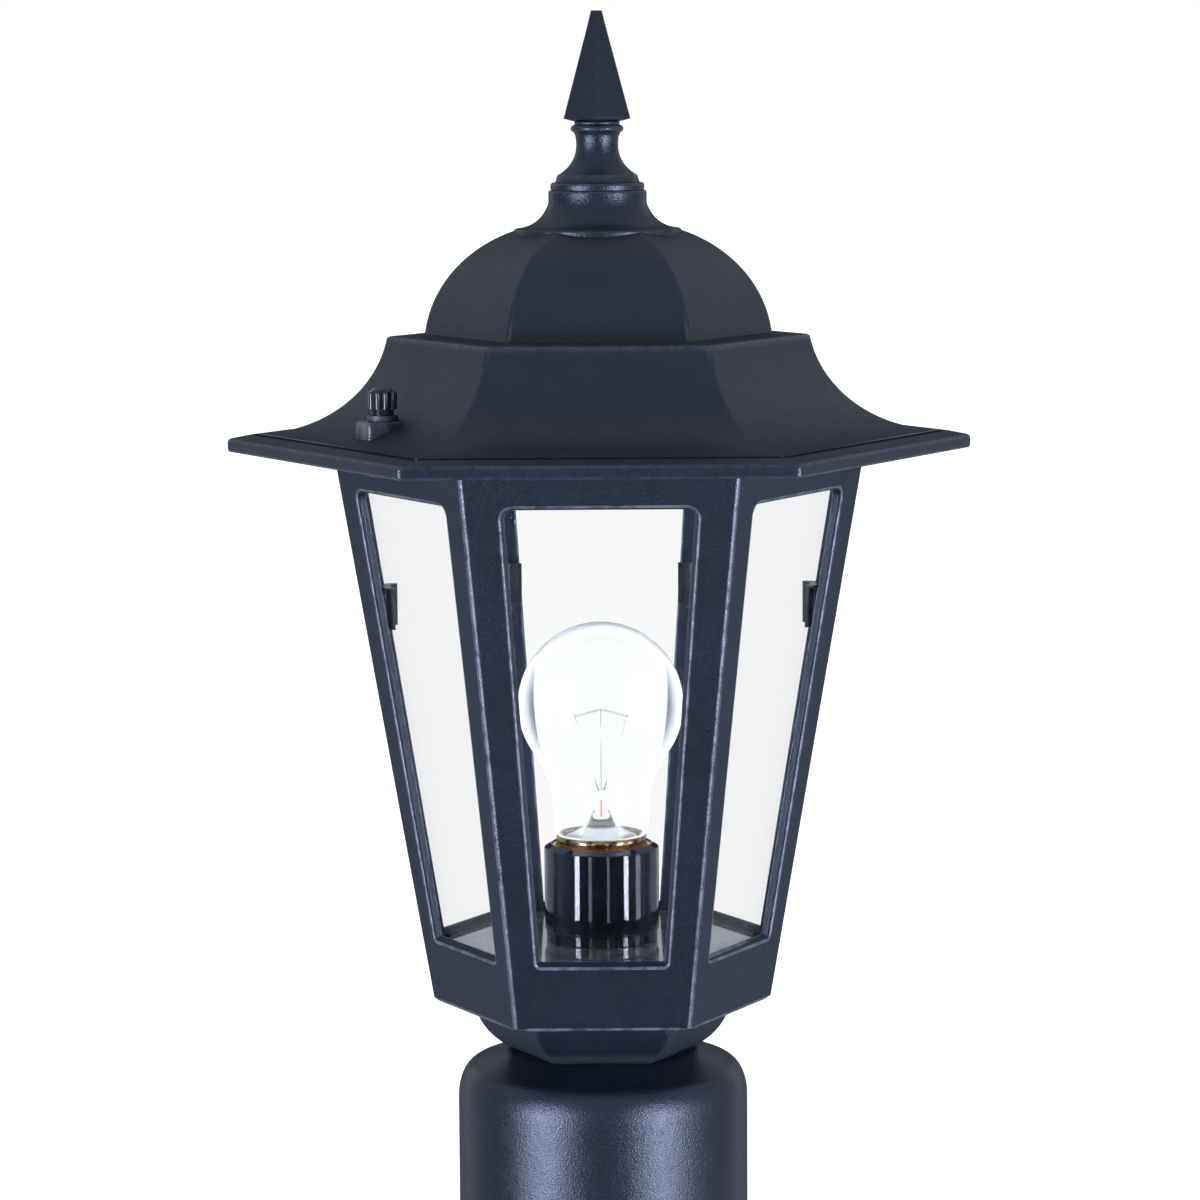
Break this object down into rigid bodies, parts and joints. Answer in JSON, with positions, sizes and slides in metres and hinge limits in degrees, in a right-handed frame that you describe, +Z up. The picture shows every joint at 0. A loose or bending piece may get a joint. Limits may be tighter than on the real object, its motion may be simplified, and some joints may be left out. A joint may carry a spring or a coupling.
{
  "type": "post top lantern",
  "caption": "Six-sided post top lantern: cast cage with clear panes round one screw-in lamp, lift-off roof under thumb nuts, and a sleeve that slips over a round post.",
  "frame": {"origin": "centre of the sleeve's bottom rim", "axes": "+Z up the lantern's axis to the finial; two cage corners lie on the X axis; the front face looks along -Y"},
  "size_m": [0.2122, 0.1838, 0.3734],
  "materials": {
    "painted_casting": "satin",
    "clear_glass": "gloss",
    "gloss_plate": "gloss",
    "plated_steel": "satin",
    "spring_steel": "satin",
    "black_socket": "gloss",
    "brass": "satin",
    "rubber_seal": "matte",
    "black_nut": "gloss",
    "lamp_glass": "gloss",
    "lamp_shell": "satin",
    "lamp_black_glass": "gloss",
    "solder": "satin",
    "lamp_wire": "satin"
  },
  "bodies": {
    "base": {"fitter": "painted_casting", "base_cup": "painted_casting", "cage": "painted_casting", "floor_plate": "gloss_plate", "glass_pane_1": "clear_glass", "glass_pane_2": "clear_glass", "glass_pane_3": "clear_glass", "glass_pane_4": "clear_glass", "glass_pane_5": "clear_glass", "glass_pane_6": "clear_glass", "glass_clips": "spring_steel", "roof_studs": "plated_steel", "nipple": "plated_steel", "lower_lock_washer": "plated_steel", "lower_locknut": "plated_steel", "upper_locknut": "plated_steel", "socket_body": "black_socket", "socket_insulator": "black_socket", "socket_screw_shell": "brass", "socket_centre_contact": "brass"},
    "roof": {"roof": "painted_casting", "finial": "painted_casting", "finial_stud": "plated_steel", "finial_washer": "plated_steel", "finial_nut": "plated_steel"},
    "lamp": {"lamp_glass": "lamp_glass", "lamp_base": "lamp_shell", "lamp_insulator": "lamp_black_glass", "lamp_tip": "solder", "lamp_stem": "lamp_glass", "lamp_leads": "lamp_wire", "lamp_filament": "lamp_wire"},
    "seal_1": {"seal_washer_1": "rubber_seal"},
    "nut_1": {"thumb_nut_1": "black_nut"},
    "seal_2": {"seal_washer_2": "rubber_seal"},
    "nut_2": {"thumb_nut_2": "black_nut"},
    "set_screw_1": {"set_screw_1": "plated_steel"},
    "set_screw_2": {"set_screw_2": "plated_steel"},
    "set_screw_3": {"set_screw_3": "plated_steel"}
  },
  "joints": [
    {"name": "roof_lift", "type": "slide", "parent": "base", "child": "roof", "axis": [0, 0, 1], "range_m": [0, 0.06]},
    {"name": "lamp_lift", "type": "slide", "parent": "base", "child": "lamp", "axis": [0, 0, 1], "range_m": [0, 0.06]},
    {"name": "nut_1_climb", "type": "slide", "parent": "roof", "child": "seal_1", "axis": [0, 0, 1], "range_m": [0, 0.0079]},
    {"name": "nut_1_spin", "type": "hinge", "parent": "seal_1", "child": "nut_1", "pos_m": [0.05976, 0.0345, 0.2625], "axis": [0, 0, 1], "range_deg": [0, 3600]},
    {"name": "nut_2_climb", "type": "slide", "parent": "roof", "child": "seal_2", "axis": [0, 0, 1], "range_m": [0, 0.0079]},
    {"name": "nut_2_spin", "type": "hinge", "parent": "seal_2", "child": "nut_2", "pos_m": [-0.05976, -0.0345, 0.2625], "axis": [0, 0, 1], "range_deg": [0, 3600]},
    {"name": "set_screw_1_drive", "type": "slide", "parent": "base", "child": "set_screw_1", "axis": [0, -1, 0], "range_m": [0, 0.003]},
    {"name": "set_screw_2_drive", "type": "slide", "parent": "base", "child": "set_screw_2", "axis": [0.866, 0.5, 0], "range_m": [0, 0.003]},
    {"name": "set_screw_3_drive", "type": "slide", "parent": "base", "child": "set_screw_3", "axis": [-0.866, 0.5, 0], "range_m": [0, 0.003]}
  ],
  "couplings": [
    {"joint": "nut_1_spin", "follows": "nut_1_climb", "rad_per_m": 7915.8},
    {"joint": "nut_2_spin", "follows": "nut_2_climb", "rad_per_m": 7915.8}
  ]
}
